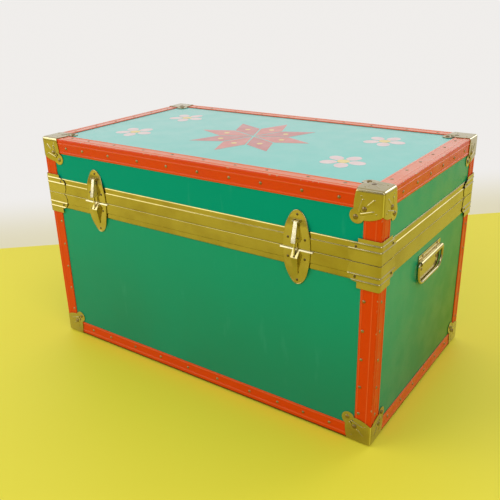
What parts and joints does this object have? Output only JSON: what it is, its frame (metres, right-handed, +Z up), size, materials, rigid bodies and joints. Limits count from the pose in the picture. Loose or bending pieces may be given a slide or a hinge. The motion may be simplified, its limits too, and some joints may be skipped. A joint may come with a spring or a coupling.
{
  "type": "travel trunk",
  "caption": "Board travel trunk with beaded edge angles, stamped corners, a hinged lid, swing latches and drop handles on its ends.",
  "frame": {"origin": "on the floor under the middle of the trunk's bounding box, lid shut", "axes": "front with the latches looks along -Y, +X to the viewer's right along the length, +Z up"},
  "size_m": [0.7754, 0.466, 0.4553],
  "materials": {
    "green_paint": "satin paint on board",
    "orange_paint": "satin enamel",
    "brass_plate": "bright plated",
    "plated_steel": "bright plated rod"
  },
  "bodies": {
    "chest": {"chest_front": "green_paint", "chest_back": "green_paint", "chest_left_end": "green_paint", "chest_right_end": "green_paint", "chest_bottom": "green_paint", "chest_angle_bottom_front": "orange_paint", "chest_angle_bottom_back": "orange_paint", "chest_angle_bottom_left": "orange_paint", "chest_angle_bottom_right": "orange_paint", "chest_angle_front_left": "orange_paint", "chest_angle_front_right": "orange_paint", "chest_angle_back_left": "orange_paint", "chest_angle_back_right": "orange_paint", "chest_corner_front_left": "brass_plate", "chest_sleeve_front_left": "brass_plate", "chest_corner_front_right": "brass_plate", "chest_sleeve_front_right": "brass_plate", "chest_corner_back_left": "brass_plate", "chest_sleeve_back_left": "brass_plate", "chest_corner_back_right": "brass_plate", "chest_sleeve_back_right": "brass_plate", "chest_rim_band": "brass_plate", "latch_catch_left": "brass_plate", "handle_plate_left": "brass_plate", "hinge_chest_leaf_left": "brass_plate", "hinge_pin_left": "plated_steel", "latch_catch_right": "brass_plate", "handle_plate_right": "brass_plate", "hinge_chest_leaf_right": "brass_plate", "hinge_pin_right": "plated_steel"},
    "lid": {"lid_front": "green_paint", "lid_back": "green_paint", "lid_left_end": "green_paint", "lid_right_end": "green_paint", "lid_top": "green_paint", "lid_angle_top_front": "orange_paint", "lid_angle_top_back": "orange_paint", "lid_angle_top_left": "orange_paint", "lid_angle_top_right": "orange_paint", "lid_angle_front_left": "orange_paint", "lid_angle_front_right": "orange_paint", "lid_angle_back_left": "orange_paint", "lid_angle_back_right": "orange_paint", "lid_corner_front_left": "brass_plate", "lid_sleeve_front_left": "brass_plate", "lid_corner_front_right": "brass_plate", "lid_sleeve_front_right": "brass_plate", "lid_corner_back_left": "brass_plate", "lid_sleeve_back_left": "brass_plate", "lid_corner_back_right": "brass_plate", "lid_sleeve_back_right": "brass_plate", "lid_rim_band": "brass_plate", "latch_plate_left": "brass_plate", "hinge_lid_leaf_left": "brass_plate", "latch_plate_right": "brass_plate", "hinge_lid_leaf_right": "brass_plate"},
    "latch_lever_left": {"latch_lever_left": "brass_plate"},
    "handle_bail_left": {"handle_bail_left": "plated_steel"},
    "latch_lever_right": {"latch_lever_right": "brass_plate"},
    "handle_bail_right": {"handle_bail_right": "plated_steel"}
  },
  "joints": [
    {"name": "lid_hinge", "type": "hinge", "parent": "chest", "child": "lid", "pos_m": [0, 0.2267, 0.3374], "axis": [-1, 0, 0], "range_deg": [0, 105]},
    {"name": "latch_lever_left_swing", "type": "hinge", "parent": "lid", "child": "latch_lever_left", "pos_m": [-0.234, -0.2233, 0.3839], "axis": [-1, 0, 0], "range_deg": [0, 80]},
    {"name": "latch_lever_right_swing", "type": "hinge", "parent": "lid", "child": "latch_lever_right", "pos_m": [0.234, -0.2233, 0.3839], "axis": [-1, 0, 0], "range_deg": [0, 80]},
    {"name": "handle_bail_left_swing", "type": "hinge", "parent": "chest", "child": "handle_bail_left", "pos_m": [-0.383, 0, 0.2794], "axis": [0, 1, 0], "range_deg": [0, 110]},
    {"name": "handle_bail_right_swing", "type": "hinge", "parent": "chest", "child": "handle_bail_right", "pos_m": [0.383, 0, 0.2794], "axis": [0, -1, 0], "range_deg": [0, 110]}
  ]
}
